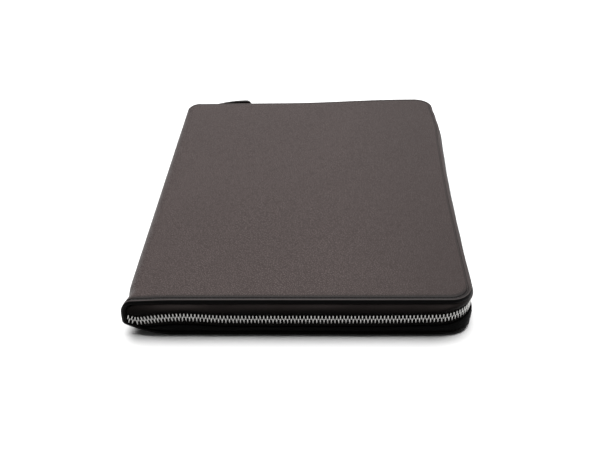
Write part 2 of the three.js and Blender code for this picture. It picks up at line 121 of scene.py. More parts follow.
def smooth(value, low, high):
    """0 up to low, 1 from high on, and the cubic 3t^2 - 2t^3 between them."""
    share = np.clip((value - low) / (high - low), 0, 1)
    return share * share * (3 - 2 * share)


def bell(distance, spread):
    """exp(-(distance / spread)^2)."""
    return np.exp(-((distance / spread) ** 2))


def lerp(start, end, share):
    """The value at a share of the way from start to end."""
    return start + (end - start) * share


def table_value(table, at, column):
    """A smooth value between the rows of a table, whose first column is the place."""
    places = table[:, 0]
    after = np.clip(np.searchsorted(places, at), 1, len(places) - 1)
    share = smooth(at, places[after - 1], places[after])
    return lerp(table[after - 1, column], table[after, column], share)


def frontness(y):
    """1 at the spine's open front end, falling as a bell further back."""
    return bell(y + HALF_LENGTH, END_SPREAD)


def settled(points):
    """Where points of the regular case lie in the settled one.

    The zip side moves by the table's bow and flare, growing with the square of the distance from the
    spine. The spine is pinched behind its front end. The top sags towards the back and over the spine,
    in proportion to the height above SAG_START, and the bottom's two corners on the zip side lift.
    """
    x, y, z = np.moveaxis(points, -1, 0)
    along = (y + HALF_LENGTH) / CASE_LENGTH
    across = np.clip(x / CASE_WIDTH, 0, 1)
    side = SIDE_BOW * table_value(SIDE_SHAPE, along, 1) + EAR_FLARE * table_value(SIDE_SHAPE, along, 2)
    pinch = SPINE_PINCH * bell(y + HALF_LENGTH - PINCH_AT, PINCH_SPREAD) - END_FLARE * frontness(y)
    back = np.clip(along, 0, 1)
    sag = BACK_SAG * back**SAG_RISE * (1 - smooth(across, *SAG_FADE))
    sag = sag + SPINE_SAG * (1 - back) * (1 - smooth(x, 0, SPINE_SAG_REACH))
    height = np.clip((z - SAG_START) / (CASE_HEIGHT - SAG_START), 0, 1)
    ear = np.clip(1 - (CASE_WIDTH - x) / EAR_REACH, 0, 1) * np.clip(
        1 - (HALF_LENGTH - np.abs(y)) / EAR_REACH, 0, 1
    )
    return np.stack([
        x + side * across**2 + pinch * np.clip(1 - across / PINCH_REACH, 0, 1),
        y,
        z - sag * height + EAR_LIFT * ear * np.clip(1 - z / EAR_TOP, 0, 1),
    ], -1)


def lift(x):
    """The underside's height: FOLD_LIFT times the square of what is left of LIFT_REACH."""
    return FOLD_LIFT * np.maximum(0, 1 - x / LIFT_REACH) ** 2


def lift_normal(x):
    """The underside's downward unit normal, (slope, -1) made a unit vector."""
    slope = -2 * FOLD_LIFT * np.maximum(0, 1 - x / LIFT_REACH) / LIFT_REACH
    length = np.sqrt(slope**2 + 1)
    return np.stack([slope / length, -1 / length], -1)


def fold_arc():
    """Where the lower fold's arc leaves the underside, its centre, and the angle that it starts at."""
    touch = FOLD_RADIUS
    for _ in range(20):
        touch = FOLD_RADIUS * (1 + lift_normal(touch)[0])
    normal = lift_normal(touch)
    centre = np.array([touch, lift(touch)]) - FOLD_RADIUS * normal
    return touch, centre, math.atan2(normal[1], normal[0])


def spine_section(fullness, fold_steps=12, shoulder_steps=22):
    """The spine in section, one row per fullness: an arc, then a superellipse quarter up to the top panel.

    The quarter's point at angle a is reach (1 - cos^p a) across and rise sin^p a up, with p = 2 / squareness.
    """
    touch, centre, start = fold_arc()
    rows = len(fullness)
    angle = lerp(start, -math.pi, np.linspace(0, 1, fold_steps))
    normal = np.stack([np.cos(angle), np.sin(angle)], -1)
    fold = np.broadcast_to(centre + FOLD_RADIUS * normal, (rows, fold_steps, 2))
    fold_normal = np.broadcast_to(normal, (rows, fold_steps, 2))
    reach = lerp(SHOULDER_REACH, END_SHOULDER_REACH, fullness)[:, None]
    foot = lerp(SHOULDER_START, END_SHOULDER_START, fullness)[:, None]
    rise = CASE_HEIGHT - foot
    angle = np.linspace(0, math.pi / 2, shoulder_steps)[None]
    across = np.clip(np.cos(angle), 0, 1) ** (2 / SHOULDER_SQUARENESS)
    up = np.sin(angle) ** (2 / SHOULDER_SQUARENESS)
    shoulder = np.stack([reach * (1 - across), foot + rise * up], -1)
    normal = np.stack([
        -(across ** (SHOULDER_SQUARENESS - 1)) / reach,
        up ** (SHOULDER_SQUARENESS - 1) / rise,
    ], -1)
    normal = normal / np.linalg.norm(normal, axis=-1, keepdims=True)
    return np.concatenate([fold, shoulder], 1), np.concatenate([fold_normal, normal], 1)


# Distances from the cover's edge to its rim's rings, finest at the rolled edge and in the crease.
RIM_INSETS = np.concatenate([
    np.linspace(0, 1.3, 8), np.linspace(1.6, 2.3, 4), np.linspace(2.5, 4.1, 9),
    np.linspace(4.5, 7, 5), (8.6, 10.6, 12.8, 15, RIM_CORNER),
])
RIM_EDGE = len(RIM_INSETS) - 1
RING_INSET = RIM_INSETS[::-1]
CREASE_RING = int(np.argmin(np.abs(RING_INSET - CREASE_INSET)))


def rim_drop(inset):
    """How far the rim lies below its panel.

    It is a quarter ellipse at the edge, a bell for the crease and a wider, shallow one about it.
    """
    roll = 1 - np.clip(inset / EDGE_ROLL, 0, 1)
    edge = EDGE_DROP * (1 - np.sqrt(1 - roll**2))
    crease = CREASE_DEPTH * bell(inset - CREASE_INSET, CREASE_WIDTH)
    return edge + crease + HOLLOW_DEPTH * bell(inset - CREASE_INSET, HOLLOW_WIDTH)


def creased(points):
    """Old dents: long shallow waves, and short ripples where the spine is bent at its back end."""
    x, y, z = np.moveaxis(points, -1, 0)
    near_corner = bell(y - HALF_LENGTH + 8, 9) * bell(x - 5, 9) * smooth(z, 18, 24)
    ripple = 0.28 * np.sin(y * 1.15 + 0.5 * x) + 0.18 * np.sin(y * 0.6 - x * 0.9 + 1)
    panel = smooth(z, 26, 30) * smooth(x, 12, 40) * bell(y, 150)
    wave = 0.1 * np.sin(x * 0.045 + y * 0.021 + 0.6) + 0.07 * np.sin(y * 0.055 - x * 0.024)
    return np.stack([x, y, z + near_corner * ripple + panel * wave], -1)


def cover_skins():
    """The cover's outer and inner skins on one grid, and each point's distance from the nearest edge.

    Rows run from front to back and columns from the bottom rim round the spine to the top rim. Each rim
    is a square grid of rings bent round its corner: a ring's angle grows evenly along it, and its height
    is the panel's less rim_drop of its distance from the edge.
    """
    corner_x, corner_y = CASE_WIDTH - RIM_CORNER, HALF_LENGTH - RIM_CORNER
    rings = np.arange(RIM_EDGE, -1, -1)
    middle = np.concatenate([
        np.linspace(-corner_y, -corner_y + 40, 30)[1:],
        np.linspace(-corner_y + 40, corner_y - 36, 56)[1:],
        np.linspace(corner_y - 36, corner_y, 30)[1:-1],
    ])
    row_ring = np.concatenate([rings, np.zeros(len(middle), int), rings[::-1]])
    row_side = np.concatenate([-np.ones(len(rings)), np.zeros(len(middle)), np.ones(len(rings))])
    row_base = np.concatenate([np.full(len(rings), -corner_y), middle, np.full(len(rings), corner_y)])
    radius = RIM_CORNER - RING_INSET
    row_y = row_base + row_side * radius[row_ring]
    rows = len(row_ring)

    row, column = row_ring[:, None], rings[None]
    ring = np.maximum(row, column)
    safe = np.maximum(ring, 1)
    turn = np.where(column >= row, row / safe / 2, 1 - column / safe / 2)
    angle = turn * math.pi / 2
    rim_x = corner_x + radius[ring] * np.cos(angle)
    rim_y = row_base[:, None] + row_side[:, None] * radius[ring] * np.sin(angle)
    rim_inset = RING_INSET[ring]

    touch = fold_arc()[0]
    spine, spine_normal = spine_section(frontness(row_y))
    under = np.concatenate([
        np.linspace(corner_x, LIFT_REACH + 4, 20)[1:],
        np.linspace(LIFT_REACH + 4, touch * 1.1, 16)[1:-1],
    ])
    over = np.linspace(0, 1, 46)[1:-1] ** 1.4
    spine_end = spine[:, -1, 0][:, None]
    over_x = lerp(spine_end, corner_x, over[None])

    def panel(x, z, normal):
        """One panel's columns: x, y, z, normal and inset."""
        x = np.broadcast_to(x, (rows, x.shape[-1]))
        y = np.broadcast_to(row_y[:, None], x.shape)
        inset = np.broadcast_to(RING_INSET[row_ring][:, None], x.shape)
        return x, y, np.broadcast_to(z, x.shape), np.broadcast_to(normal, x.shape + (2,)), inset

    down, up = np.array([0.0, -1.0]), np.array([0.0, 1.0])
    flat = np.zeros_like(rim_x)
    blocks = [
        (rim_x, rim_y, flat, np.broadcast_to(down, rim_x.shape + (2,)), rim_inset),
        panel(under[None], lift(under)[None], lift_normal(under)[None]),
        panel(spine[..., 0], spine[..., 1], spine_normal),
        panel(over_x, CASE_HEIGHT, up),
        (rim_x[:, ::-1], rim_y[:, ::-1], flat + CASE_HEIGHT, np.broadcast_to(up, rim_x.shape + (2,)),
         rim_inset[:, ::-1]),
    ]
    x, y, z, normal, inset = (np.concatenate(parts, 1) for parts in zip(*blocks))

    def skin(depth):
        return np.stack([x - depth * normal[..., 0], y, z - depth * normal[..., 1]], -1)

    outer = creased(settled(skin(rim_drop(inset))))
    return outer, settled(skin(COVER_WALL)), inset


def rim_loop(grid, ring):
    """The closed loop of a grid's points that lie a ring's distance from its border."""
    first, rows, columns = RIM_EDGE - ring, grid.shape[0], grid.shape[1]
    last_row, last_column = rows - 1 - first, columns - 1 - first
    return np.concatenate([
        grid[first, first:last_column], grid[first:last_row, last_column],
        grid[last_row, first + 1:last_column + 1][::-1], grid[first + 1:last_row + 1, first][::-1],
    ])


def grid_normals(grid):
    """Unit normals of a grid of points: the cross product of its two directions."""
    return unit(np.cross(np.gradient(grid, axis=1), np.gradient(grid, axis=0)))


def unit(vectors):
    """Vectors of length 1."""
    return vectors / np.maximum(np.linalg.norm(vectors, axis=-1, keepdims=True), 1e-9)


# The zip's way round the three open sides.
STRETCH = CASE_WIDTH - ZIP_CORNER
ARC = ZIP_CORNER * math.pi / 2
SIDE = CASE_LENGTH - 2 * ZIP_CORNER
WHOLE_WAY = 2 * STRETCH + 2 * ARC + SIDE


def way(start):
    """Distances along the zip's nominal line, finer beside the spine and in the corners.

    They begin and end at that distance from the spine.
    """
    ends, fine, coarse = 34.0, 1.2, 4.0
    stops = [start, ends, STRETCH, STRETCH + ARC, WHOLE_WAY - STRETCH - ARC, WHOLE_WAY - STRETCH,
             WHOLE_WAY - ends, WHOLE_WAY - start]
    steps = [fine, coarse, fine, coarse, fine, coarse, fine]
    spans = [np.linspace(a, b, max(2, int((b - a) / step)), endpoint=False)
             for a, b, step in zip(stops, stops[1:], steps)]
    return np.concatenate(spans + [[stops[-1]]])


def plan_point(at, radius, out):
    """The plan point at a nominal distance, on the outline with that corner radius moved outwards.

    On the straight stretches the distance is scaled to the outline's own, and in a corner it is an angle.
    """
    corner_x, corner_y = CASE_WIDTH - radius, HALF_LENGTH - radius
    reach = radius + out
    first = (at - STRETCH) / ARC * math.pi / 2
    second = (at - STRETCH - ARC - SIDE) / ARC * math.pi / 2
    back = (WHOLE_WAY - at) / STRETCH
    cases = [at < STRETCH, at < STRETCH + ARC, at < STRETCH + ARC + SIDE, at < WHOLE_WAY - STRETCH]
    x = np.select(cases, [
        at / STRETCH * corner_x, corner_x + reach * np.sin(first), CASE_WIDTH + out,
        corner_x + reach * np.cos(second),
    ], back * corner_x)
    y = np.select(cases, [
        -(HALF_LENGTH + out), -corner_y - reach * np.cos(first),
        lerp(-corner_y, corner_y, (at - STRETCH - ARC) / SIDE), corner_y + reach * np.sin(second),
    ], HALF_LENGTH + out)
    return x, y


def zip_line(at):
    """The chain's middle: its x, level and stand-off.

    It dips as a bell and tucks in beside the front of the spine, and rises as a bell at each of the swells.
    """
    x, _ = plan_point(at, ZIP_CORNER, 0)
    front = at < STRETCH
    tuck = np.where(front, TUCK_IN * (1 - smooth(x, CHAIN_START, TUCK_REACH)), 0)
    spread = np.where(x < DIP_AT, DIP_SPREAD, 2 * DIP_SPREAD)
    dip = np.where(front, ZIP_DIP * bell(x - DIP_AT, spread), 0)
    swell = sum(height * bell(at - middle, reach) for middle, reach, height in ZIP_SWELLS)
    return x, ZIP_LEVEL - dip + swell, CHAIN_OUT - tuck


def band_point(at, blend, out, z):
    """Points of a band: blend is 0 on the rim's outline and 1 on the zip's."""
    x, y = plan_point(at, lerp(RIM_CORNER, ZIP_CORNER, blend), out)
    shape = np.broadcast_shapes(x.shape, y.shape, np.shape(z))
    return settled(np.stack([np.broadcast_to(v, shape) for v in (x, y, z)], -1).astype(float))


def wall_level(at, x, side):
    """The height of the cover's inner face over or under the zip, squarer at the front end."""
    full = np.where(at < STRETCH, 1.0, 0.0)
    outer = lerp(SHOULDER_REACH, END_SHOULDER_REACH, full)
    foot = lerp(SHOULDER_START, END_SHOULDER_START, full)
    share = np.clip((outer - x) / (outer - COVER_WALL), 0, 1)
    rise = CASE_HEIGHT - COVER_WALL - foot
    ceiling = foot + rise * (1 - share**SHOULDER_SQUARENESS) ** (1 / SHOULDER_SQUARENESS)
    return ceiling if side > 0 else lift(x - COVER_WALL / 2) + COVER_WALL


def gusset_line(at, side):
    """What a gusset and its tape share: side is 1 above the chain and -1 below it."""
    x, level, out = zip_line(at)
    rim = wall_level(at, x, side) - side * (GAP + END_GATHER * (1 - smooth(x, GATHER_FROM, GATHER_TO)))
    shown = UPPER_TAPE_SHOWN if side > 0 else LOWER_TAPE_SHOWN
    free = level + side * (CHAIN_WIDTH / 2 + shown)
    least = rim - side * LEAST_GUSSET
    edge = np.minimum(free, least) if side > 0 else np.maximum(free, least)
    face = out + TAPE_THICKNESS / 2 + GUSSET_THICKNESS
    return level, out, rim, edge, face, UPPER_FULLNESS if side > 0 else LOWER_FULLNESS


def gusset_band(side, start):
    """A gusset's closed sections: its face swells from the turned edge to under the rim as share^fullness.

    The turned edge is a flattened half round of the leather's thickness. Short soft waves run along the
    face.
    """
    at = way(start)[:, None]
    _, _, rim, edge, face, power = gusset_line(at, side)
    share = np.linspace(0, 1, 14)[None]
    wave = 0.22 * np.sin(at * 0.052 + side) + 0.16 * np.sin(at * 0.13 + 2 * side)
    stand = lerp(face, -GUSSET_TUCK, share**power) + wave * np.sin(math.pi * share) * smooth(at, 20, 60)
    height = lerp(edge, rim, share)
    outside = band_point(at, 1 - share, stand, height)
    inside = band_point(at, 1 - share, stand - GUSSET_THICKNESS, height)
    turn = np.linspace(0, math.pi, 7)[None, 1:-1]
    half, flattened = GUSSET_THICKNESS / 2, 0.55
    turned = band_point(at, 1, face - half - half * np.cos(turn),
                        edge - side * flattened * half * np.sin(turn))
    return np.concatenate([turned, outside, inside[:, ::-1]], 1)


def tape_band(side, start):
    """A tape's closed sections and its own flat coordinates.

    Each skin runs from inside the teeth, with a slight belly as a sine, and on under its gusset.
    """
    at = way(start)[:, None]
    level, out, rim, edge, face, power = gusset_line(at, side)
    height = np.abs(rim - edge)
    hidden = np.minimum(TAPE_OVERLAP, height)
    share = np.linspace(0, 1, 7)[None]
    shown_height = lerp(level + side * TAPE_START_LEVEL, edge - side * TAPE_UNDERLAP, share)
    belly = TAPE_BELLY * np.sin(math.pi * share)
    under = np.linspace(0, 1, 4)[None] * hidden / height
    tucked_height = lerp(edge, rim, under)
    stand = lerp(face, -GUSSET_TUCK, under**power) - GUSSET_THICKNESS - GAP

    def skin(depth):
        shown = band_point(at, 1, out + TAPE_THICKNESS / 2 - depth - belly, shown_height)
        return np.concatenate([shown, band_point(at, 1 - under, stand - depth, tucked_height)], 1)

    grid = np.concatenate([skin(0), skin(TAPE_THICKNESS)[:, ::-1]], 1)
    across = np.concatenate([shown_height, tucked_height], 1)
    across = np.concatenate([across, across[:, ::-1]], 1)
    flat = np.stack([np.broadcast_to(at, across.shape), across, np.zeros_like(across)], -1)
    return grid, flat


def path_length(path):
    """The distance run along a path at each of its points."""
    return np.concatenate([[0], np.cumsum(np.linalg.norm(np.diff(path, axis=0), axis=1))])


def along_path(values, run, marks):
    """A path's values at marks of the distance run along it."""
    return np.stack([np.interp(marks, run, values[:, k]) for k in range(3)], -1)


def chain_frames(first, last, offset):
    """Middle, tangent, outward and up vectors of the chain, a tooth's pitch apart along its true length."""
    dense = np.linspace(first, WHOLE_WAY - last, 6000)
    _, level, out = zip_line(dense)
    middle = band_point(dense, 1, out, level)
    run = path_length(middle)
    marks = np.arange(offset, run[-1] - 0.5, TOOTH_PITCH)
    half_step = 0.6
    tangent = unit(along_path(middle, run, marks + half_step) - along_path(middle, run, marks - half_step))
    outward = unit(np.cross(tangent, (0, 0, 1)))
    return along_path(middle, run, marks), tangent, outward, np.cross(outward, tangent)


def rounded_section(width, depth, chamfer):
    """Eight corners of a rectangle with cut corners, around its middle."""
    cut = chamfer * np.minimum(width, depth)
    along = np.stack([width, width - cut, cut - width, -width, -width, cut - width, width - cut, width], -1)
    out = np.stack([depth - cut, depth, depth, depth - cut, cut - depth, -depth, -depth, cut - depth], -1)
    return along, out


def teeth(side, offset):
    """One row of metal teeth. Each is a stack of rounded sections from its clamped leg to its nib.

    A section has a height from the zip's middle, half a width along the zip and half a depth out of it.
    """
    heights = np.array([3.5, 3.3, 1.4, 0.6, 0.3, -0.1, -0.3, -0.5])
    widths = np.array([0.35, 0.41, 0.42, 0.43, 0.47, 0.54, 0.6, 0.44])
    depths = np.array([0.6, 0.75, 0.8, 0.75, 0.65, 0.6, 0.55, 0.4])
    along, out = rounded_section(widths, depths, 0.34)
    spots, tangent, outward, up = chain_frames(CHAIN_START + 0.7, SLIDER_AT + 1.0, offset)
    raised = side * heights - INTERLOCK_DROP
    return (spots[:, None, None] + along[None, ..., None] * tangent[:, None, None]
            + out[None, ..., None] * outward[:, None, None] + raised[None, :, None, None] * up[:, None, None])


# Meshes.


TOUCHING = 1e-6  # metres between points that are joined


def grid_quads(rows, columns, wrap):
    """A grid's quads as point numbers. wrap joins its last column to its first."""
    row, column = np.meshgrid(np.arange(rows - 1), np.arange(columns if wrap else columns - 1), indexing="ij")
    beside = (column + 1) % columns
    return np.stack([
        row * columns + column, row * columns + beside,
        (row + 1) * columns + beside, (row + 1) * columns + column,
    ], -1).reshape(-1, 4)


class Form:
    """A mesh in the making: grids of points, joined where they touch."""

    def __init__(self):
        self.points, self.faces, self.paints, self.facts = [], [], [], {}
        self.count = 0

    def grid(self, points, wrap=False, caps=False, paint=0, **facts):
        """Adds a grid's quads. caps closes its end rows, and facts are named values of its points."""
        rows, columns = points.shape[:2]
        faces = (grid_quads(rows, columns, wrap) + self.count).tolist()
        if caps:
            ring = np.arange(columns) + self.count
            faces += [ring[::-1].tolist(), (ring + (rows - 1) * columns).tolist()]
        self.faces += faces
        self.paints += [paint] * len(faces)
        self.points.append(points.reshape(-1, 3))
        for name, value in facts.items():
            self.facts.setdefault(name, []).append((self.count, value.reshape(rows * columns, -1)))
        self.count += rows * columns
        return self

    def copies(self, grids):
        """Adds many separate closed forms: the first axis of grids counts them."""
        rows, columns = grids.shape[1:3]
        quads = grid_quads(rows, columns, wrap=True)
        starts = self.count + np.arange(len(grids)) * rows * columns
        self.faces += (starts[:, None, None] + quads).reshape(-1, 4).tolist()
        ring = np.arange(columns)
        self.faces += (starts[:, None] + ring[::-1]).tolist()
        self.faces += (starts[:, None] + ring + (rows - 1) * columns).tolist()
        self.paints += [0] * (len(grids) * (len(quads) + 2))
        self.points.append(grids.reshape(-1, 3))
        self.count += grids.size // 3
        return self

    def build(self, name, materials, slot, replaces=(), merge=True, sharp=35):
        """Makes the object, at the origin, smooth but for edges sharper than sharp degrees."""
        mesh = bpy.data.meshes.new(name)
        mesh.from_pydata(placed(np.concatenate(self.points)), [], self.faces)
        mesh.polygons.foreach_set("material_index", np.array(self.paints, np.int32))
        for fact, parts in self.facts.items():
            size = parts[0][1].shape[1]
            whole = np.zeros((self.count, size))
            for start, value in parts:
                whole[start:start + len(value)] = value
            kind = "FLOAT" if size == 1 else "FLOAT_VECTOR"
            field = "value" if size == 1 else "vector"
            mesh.attributes.new(fact, kind, "POINT").data.foreach_set(field, whole.astype(np.float32).ravel())
        work = bmesh.new()
        work.from_mesh(mesh)
        if merge:
            bmesh.ops.remove_doubles(work, verts=work.verts, dist=TOUCHING)
        bmesh.ops.recalc_face_normals(work, faces=work.faces)
        work.to_mesh(mesh)
        work.free()
        mesh.shade_smooth()
        mesh.set_sharp_from_angle(angle=math.radians(sharp))
        for material in materials:
            mesh.materials.append(material)
        piece = bpy.data.objects.new(name, mesh)
        bpy.context.scene.collection.objects.link(piece)
        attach(piece, "root")
        if replaces:
            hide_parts(*replaces)
        return piece


# Materials.


class Value:
    """A shader socket that Python's operators work on: each adds its Math node."""

    def __init__(self, finish, socket):
        self.finish, self.socket = finish, socket

    def math(self, operation, *terms):
        """A Math node of that operation on the terms."""
        return self.finish.node("Math", {"operation": operation}, dict(enumerate(terms)))

    def __add__(self, other):
        return self.math("ADD", self, other)

    __radd__ = __add__

    def __sub__(self, other):
        return self.math("SUBTRACT", self, other)

    def __rsub__(self, other):
        return self.math("SUBTRACT", other, self)

    def __mul__(self, other):
        return self.math("MULTIPLY", self, other)

    __rmul__ = __mul__

    def __truediv__(self, other):
        return self.math("DIVIDE", self, other)

    def __pow__(self, other):
        return self.math("POWER", self, other)

    def smooth(self, low, high):
        """0 up to low, 1 from high on and a smooth rise between."""
        return self.finish.node("MapRange", {"interpolation_type": "SMOOTHSTEP"},
                                {"Value": self, "From Min": low, "From Max": high})


class Finish:
    """A material in the making."""

    def __init__(self, name, **constants):
        self.material = bpy.data.materials.new(name)
        self.material.use_nodes = True
        self.tree = self.material.node_tree
        self.shader = self.tree.nodes["Principled BSDF"]
        for socket, value in constants.items():
            self.shader.inputs[socket.replace("_", " ")].default_value = value

    def node(self, kind, settings=(), sockets=(), output=0):
        """Adds a node of that type, sets it up, wires its sockets and gives one of its outputs."""
        node = self.tree.nodes.new("ShaderNode" + kind)
        for name, value in dict(settings).items():
            setattr(node, name, value)
        for name, value in dict(sockets).items():
            if isinstance(value, Value):
                self.tree.links.new(value.socket, node.inputs[name])
            else:
                node.inputs[name].default_value = value
        return Value(self, node.outputs[output])

    def place(self):
        """The piece's own coordinates, in metres."""
        return self.node("TexCoord", output="Object")

    def axis(self, vector, index):
        """One coordinate of a vector: 0 for X, 1 for Y and 2 for Z."""
        return self.node("SeparateXYZ", sockets={0: vector}, output=index)

    def mix(self, share, first, second):
        """A colour between two."""
        return self.node("Mix", {"data_type": "RGBA"}, {0: share, 6: first, 7: second}, 2)

    def noise(self, vector, scale, detail=2.0):
        """Soft noise from 0 to 1."""
        return self.node("TexNoise", sockets={"Vector": vector, "Scale": scale, "Detail": detail})

    def varies(self, **inputs):
        """Links what changes over the surface to the shader."""
        for name, value in inputs.items():
            self.tree.links.new(value.socket, self.shader.inputs[name.replace("_", " ")])
        return self.material

    def bump(self, height, distance):
        """A normal from a height of 0 to 1, distance in metres at 1."""
        return self.node("Bump", sockets={"Height": height, "Distance": distance, "Strength": 1.0})


def colour(red, green, blue):
    """A linear colour with full alpha."""
    return (red, green, blue, 1.0)


def pebbles(finish, cell, wander):
    """Pebble grain: 0 in the creases between the pebbles, 1 on their tops. Cells are in metres."""
    place = finish.place()
    drift = finish.node("TexNoise", sockets={"Vector": place, "Scale": 0.45 / cell, "Detail": 2.0}, output=1)
    pushed = finish.node("VectorMath", {"operation": "MULTIPLY_ADD"}, {0: drift, 1: (wander,) * 3, 2: place})
    edge = finish.node("TexVoronoi", {"feature": "DISTANCE_TO_EDGE"}, {"Vector": pushed, "Scale": 1 / cell})
    return edge.smooth(0.0, 0.34)


def cover_leather():
    """Dark brown pebbled leather: matt creases, glossier tops, smooth and shinier on the rolled rim.

    The crease and the edge paint follow inset, the distance from the cover's edge in millimetres, and are
    wider along the front. The crease's darkening is painted shade, and so is the edge paint's extra darkness
    and reach along the front. Painted shade darkens the tone towards the zip side, and more in the front
    half. The pebbles' valleys are darker than their tops: the grain's own tone, with painted shade in the
    valleys and painted sheen on the tops.
    """
    finish = Finish("pebbled cover leather", Specular_IOR_Level=0.07, Sheen_Weight=0.12, Sheen_Roughness=0.35)
    place = finish.place()
    inset = finish.node("Attribute", {"attribute_name": "inset"}, output="Fac")
    grained = inset.smooth(3.6, 5.5) * 0.92 + 0.08
    pebble = pebbles(finish, 0.0016, 0.0005)
    fine = pebbles(finish, 0.0005, 0.00015)
    broad = finish.noise(place, 28.0, 3.0)
    patch = finish.noise(place, 170.0, 2.0)
    pores = finish.noise(place, 2600.0, 2.0)
    relief = (pebble * (0.55 + 0.6 * patch) + 0.16 * fine) * grained + 0.05 * pores
    front = 1 - finish.axis(place, 1).smooth(-0.168, -0.15)
    # Painted shade in the crease and on the slope beside it, wider and stronger along the front.
    crease = inset.smooth(0.9, 1.6) * (1 - inset.smooth(3.6, 5.2 + 3.3 * front)) * (0.4 + 0.56 * front)
    # Real edge paint on the rolled edge, darker than the paint itself and reaching further along the front as
    # painted shade.
    edge_paint_and_shade = 1 - inset.smooth(0.25 + 0.4 * front, 0.55 + 0.4 * front)
    front_half = 1 - finish.axis(place, 1).smooth(-0.17, 0.03)
    # Painted shade: the leather darkens towards the zip side, more in the front half, where the light falls
    # off.
    painted_shade_towards_zip = finish.axis(place, 0).smooth(0.02, 0.128) * (0.24 + 0.12 * front_half)
    light = finish.mix(broad, colour(0.041, 0.0308, 0.0293), colour(0.0465, 0.035, 0.0335))
    light = finish.mix(painted_shade_towards_zip, light, colour(0.0, 0.0, 0.0))
    # Grain colour: the grain's own tone, with painted shade in the pebbles' valleys and painted sheen on
    # their tops.
    dark = colour(0.017, 0.0118, 0.011)
    grain_with_painted_shade = finish.mix(0.8 * (1 - pebble) * grained, light, dark)
    # The crease darkened as painted shade.
    base = finish.mix(crease, grain_with_painted_shade, colour(0.003, 0.0022, 0.002))
    # Edge paint with painted shade: near black on the roll.
    base = finish.mix(edge_paint_and_shade, base, colour(0.001, 0.0008, 0.0008))
    rough = 0.6 - 0.13 * pebble * grained - (1 - grained) * 0.16 + (patch - 0.5) * 0.08
    return finish.varies(Base_Color=base, Roughness=rough, Normal=finish.bump(relief, 0.00016))


def edge_paint():
    """Black-brown burnished edge paint, a little uneven, made darker than the paint itself as painted shade.
    """
    finish = Finish("edge paint", Specular_IOR_Level=0.04)
    place = finish.place()
    blotch = finish.noise(place, 420.0, 3.0)
    # Real black edge paint, darkened further as painted shade of the recess under the rim.
    base = finish.mix(blotch, colour(0.0008, 0.0006, 0.0006), colour(0.0018, 0.0014, 0.0013))
    return finish.varies(Base_Color=base, Roughness=0.34 + 0.2 * blotch, Normal=finish.bump(blotch, 0.0001))


def lining_leather():
    """The cover's plain inner face."""
    finish = Finish("inner face", Specular_IOR_Level=0.3)
    fibre = finish.noise(finish.place(), 900.0, 4.0)
    base = finish.mix(fibre, colour(0.01, 0.008, 0.0075), colour(0.018, 0.015, 0.014))
    return finish.varies(Base_Color=base, Roughness=0.75 + 0.1 * fibre, Normal=finish.bump(fibre, 0.0001))


def gusset_leather():
    """Thin black-brown leather with a fine grain and a soft gloss, with painted light: paler towards the top
    rim, where the overhead light falls, and near black lower down as painted shade.

    The painted light is the eighth power of the share of the height of the upper gusset's top.
    """
    finish = Finish("gusset leather", Specular_IOR_Level=0.02)
    grain = pebbles(finish, 0.0007, 0.0004)
    broad = finish.noise(finish.place(), 60.0, 3.0)
    gusset_top = 0.0285
    # Painted light: paler under the top rim where the overhead light falls, painted shade near black further
    # down.
    painted_top_light = (finish.axis(finish.place(), 2) / gusset_top) ** 8 * (0.8 + 0.4 * broad)
    base = finish.mix(painted_top_light, colour(0.0006, 0.0005, 0.0005), colour(0.045, 0.037, 0.0355))
    relief = grain * 0.6 + 0.4 * finish.noise(finish.place(), 1500.0)
    return finish.varies(Base_Color=base, Roughness=0.44 - 0.08 * grain + 0.08 * broad,
                         Normal=finish.bump(relief, 0.00005))


def woven_tape():
    """Herringbone weave, from the tape's own length and breadth: threads lean one way, then the other."""
    finish = Finish("woven zip tape", Specular_IOR_Level=0.04)
    flat = finish.node("Attribute", {"attribute_name": "flat"}, output="Vector")  # in millimetres
    along, across = finish.axis(flat, 0), finish.axis(flat, 1)
    rib_width, thread_pitch = 1.1, 0.85
    zigzag = across.math("PINGPONG", across, rib_width)
    lean = (along + zigzag) * (2 * math.pi / thread_pitch)
    thread = lean.math("SINE", lean) * 0.5 + 0.5
    rib = zigzag.smooth(0.0, 0.25) * (1 - zigzag.smooth(rib_width - 0.25, rib_width))
    relief = thread * rib
    fuzz = finish.noise(finish.place(), 3000.0, 3.0)
    base = finish.mix(relief * 0.75 + fuzz * 0.25, colour(0.002, 0.0018, 0.0018), colour(0.05, 0.046, 0.044))
    return finish.varies(Base_Color=base, Roughness=0.8 + 0.1 * fuzz,
                         Normal=finish.bump(relief + 0.3 * fuzz, 0.00022))


def nickel(name, rough):
    """Bright nickel plate with faint tarnish and tumbling marks."""
    finish = Finish(name, Metallic=1.0)
    place = finish.place()
    tarnish = finish.noise(place, 160.0, 3.0)
    marks = finish.noise(place, 3500.0, 2.0)
    base = finish.mix(tarnish, colour(0.44, 0.435, 0.425), colour(0.34, 0.335, 0.325))
    return finish.varies(Base_Color=base, Roughness=rough + 0.12 * tarnish + 0.06 * marks,
                         Normal=finish.bump(marks, 0.00002))


def pull_leather():
    """Smooth strap leather, lightly grained."""
    finish = Finish("pull leather", Specular_IOR_Level=0.45)
    grain = pebbles(finish, 0.0008, 0.0004)
    broad = finish.noise(finish.place(), 130.0, 3.0)
    base = finish.mix(broad, colour(0.012, 0.0092, 0.0085), colour(0.018, 0.014, 0.013))
    return finish.varies(Base_Color=base, Roughness=0.5 - 0.08 * grain, Normal=finish.bump(grain, 0.00006))


def waxed_thread():
    """Waxed thread, twisted."""
    finish = Finish("waxed thread", Specular_IOR_Level=0.4)
    twist = finish.node("TexWave", {"wave_type": "BANDS", "bands_direction": "DIAGONAL"},
                        {"Vector": finish.place(), "Scale": 900.0, "Distortion": 1.0})
    base = finish.mix(twist, colour(0.002, 0.0016, 0.0015), colour(0.008, 0.0065, 0.006))
    return finish.varies(Base_Color=base, Roughness=0.5 + 0.15 * twist, Normal=finish.bump(twist, 0.00006))


# The pieces.


